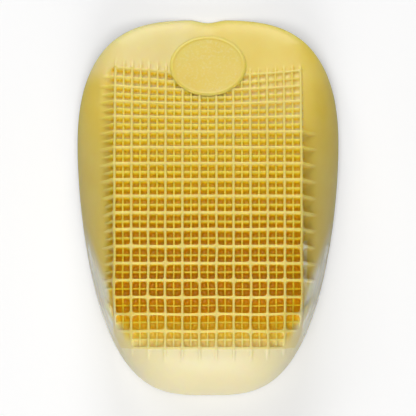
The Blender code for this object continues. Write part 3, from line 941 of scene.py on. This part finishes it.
def rubber():
    """Yellow rubber: mottled, with painted amber shade down in the cells and painted sheen, reflection
    and highlights on its skin, satin, with faint flow lines on its walls.
    """
    nodes = Nodes("yellow_rubber")
    place = nodes.add("ShaderNodeTexCoord", {}, out=3)
    painted_cell_shade, pale = nodes.share("painted_cell_shade"), nodes.share("painted_sheen")
    outward, front = nodes.share("outward"), nodes.share("front")
    mottle = nodes.noise(place, MOTTLE_SCALE, 3.0)
    along = nodes.add("ShaderNodeSeparateXYZ", {}, place, out=1)
    around = nodes.add("ShaderNodeCombineXYZ", {}, outward * FLOW_ACROSS, along * FLOW_ALONG, 0.0)
    flow = nodes.noise(around, 1.0, 4.0, 0.65)
    grain = nodes.noise(place, GRAIN_SCALE)
    speck = nodes.noise(place, SPECK_SCALE).ramp(*SPECK_RAMP) * nodes.share("oval")
    streak, band = flow.ramp(*STREAK_RAMP), pale.ramp(*BAND_RAMP)
    skin = nodes.mix(mottle.ramp(*MOTTLE_RAMP), PALE, CREAM)
    # Painted sheen and reflection: the skin is mixed towards white where that share is high, less
    # between the streaks.
    skin = nodes.mix((pale * (1.0 - BETWEEN_STREAKS * band * (1.0 - streak))).held(), skin, SHEEN_AND_SPECK_WHITE)
    skin = nodes.mix(SPECKS * speck, skin, SHEEN_AND_SPECK_WHITE)
    # Painted shade: the cells turn amber, darker where deeper.
    amber = nodes.mix(painted_cell_shade.ramp(*AMBER_RAMP), CELL_SHADE_AMBER, DEEP_CELL_SHADE_AMBER)
    in_cell = painted_cell_shade.ramp(AMBER_START, AMBER_GAIN + AMBER_FRONT_GAIN * front)
    height = FLOW_BUMP * flow * band + GRAIN_BUMP * grain
    nodes.set(
        Base_Color=nodes.mix(in_cell, skin, amber),
        Roughness=ROUGHNESS + MOTTLE_ROUGH * mottle + FLOW_ROUGH * flow,
        Coat_Weight=(COAT * band * streak).held(),
        Normal=nodes.add("ShaderNodeBump", {}, Strength=0.25, Distance=0.0002, Height=height),
    )
    nodes.shader.inputs["IOR"].default_value = 1.5
    nodes.shader.inputs["Coat Roughness"].default_value = 0.25
    nodes.shader.inputs["Coat IOR"].default_value = 2.3
    nodes.shader.inputs["Subsurface Weight"].default_value = 0.7
    nodes.shader.inputs["Subsurface Radius"].default_value = (1.0, 0.75, 0.15)
    nodes.shader.inputs["Subsurface Scale"].default_value = 0.002
    return nodes.material


# The floor's half length, how far it lies under the rim, and how strongly it glows.
FLOOR_REACH = 1.5
FLOOR_DROP = 0.05 * MM
FLOOR_GLOW = 0.17
# Two greys that the floor drifts between, in wide patches.
FLOOR_GREY = (0.93, 0.93, 0.93, 1)
FLOOR_PALE = (0.95, 0.95, 0.95, 1)


def pale_floor():
    """A matt, nearly white floor that glows a little, as the photograph's ground does."""
    nodes = Nodes("pale_floor")
    place = nodes.add("ShaderNodeTexCoord", {}, out=3)
    nodes.set(Base_Color=nodes.mix(nodes.noise(place, 6.0), FLOOR_GREY, FLOOR_PALE))
    nodes.shader.inputs["Roughness"].default_value = 0.9
    nodes.shader.inputs["Emission Color"].default_value = (1.0, 1.0, 1.0, 1.0)
    nodes.shader.inputs["Emission Strength"].default_value = FLOOR_GLOW
    return nodes.material


def make_floor():
    """The floor under the cup. Diffuse rays pass it by, so it sends no light back onto the rubber."""
    corners = ((-1, -1), (1, -1), (1, 1), (-1, 1))
    points = np.array([[FLOOR_REACH * x, FLOOR_REACH * y, -FLOOR_DROP] for x, y in corners])
    floor = add_mesh("floor", points, np.array([[0, 1, 2, 3]]), np.zeros((0, 3), int))
    floor.data.materials.append(pale_floor())
    floor.visible_diffuse = False


LAMP_DISTANCE = 1.2
# Name, azimuth and tilt from the vertical that a softbox shines from, in degrees, size and watts.
SOFTBOXES = (
    ("overhead", 0.0, 0.0, 0.6, 3.2),
    ("heel_high", -90.0, 32.0, 0.5, 3.3),
    ("heel_low", -90.0, 74.0, 0.6, 7.8),
    ("front_low", 90.0, 72.0, 0.5, 8.6),
    ("front_left", 130.0, 55.0, 0.5, 2.0),
)
WORLD_LIGHT = 0.06


def add_light(name, place, aim, size, watts):
    """A square softbox at place that faces aim."""
    lamp = bpy.data.lights.new(name, "AREA")
    lamp.shape, lamp.size, lamp.energy = "SQUARE", size, watts
    obj = bpy.data.objects.new(name, lamp)
    way = np.array(aim, float) - np.array(place, float)
    turn = math.atan2(way[1], way[0])
    tilt = math.acos(-way[2] / np.linalg.norm(way))
    obj.rotation_euler = (0.0, -tilt, turn)
    obj.location = place
    bpy.context.scene.collection.objects.link(obj)


def add_lights():
    """The softboxes, all aimed at the cup, and a faint even light from all round."""
    for name, azimuth, tilt, size, watts in SOFTBOXES:
        around, up = math.radians(azimuth), math.radians(tilt)
        way = (math.sin(up) * math.cos(around), math.sin(up) * math.sin(around), math.cos(up))
        add_light(name, LAMP_DISTANCE * np.array(way), (0.0, 0.0, 0.0), size, watts)
    world = bpy.data.worlds.new("studio")
    world.use_nodes = True
    shader = world.node_tree.nodes["Background"]
    shader.inputs["Color"].default_value = (1.0, 1.0, 1.0, 1.0)
    shader.inputs["Strength"].default_value = WORLD_LIGHT
    bpy.context.scene.world = world


# The photograph's frame: a pixel's size in metres at the rim's level, and the camera's distance.
FRAME_PIXELS = 416
PIXEL = 0.2766 * MM
RIM_LEVEL = 3.0 * MM
CAMERA_DISTANCE = 870.0 * MM
CAMERA_Y = -0.1 * MM
SENSOR = 36.0


def add_camera():
    """A camera that looks straight down and shows the photograph's frame at the rim's level."""
    camera = bpy.data.cameras.new("camera")
    camera.sensor_width = SENSOR
    camera.lens = SENSOR * (CAMERA_DISTANCE - RIM_LEVEL) / (FRAME_PIXELS * PIXEL)
    camera.clip_start = 0.05
    obj = bpy.data.objects.new("camera", camera)
    obj.location = (0.0, CAMERA_Y, CAMERA_DISTANCE)
    bpy.context.scene.collection.objects.link(obj)
    bpy.context.scene.camera = obj


def main():
    """Builds the cup, its oval, the floor, the lamps and the camera."""
    material = rubber()
    cup, oval = make_cup(), make_oval()
    for piece in (cup, oval):
        piece.data.materials.append(material)
        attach(piece, "root")
        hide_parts("heel_cup")
    make_floor()
    add_lights()
    add_camera()
    bpy.context.scene.view_settings.view_transform = "Standard"


main()
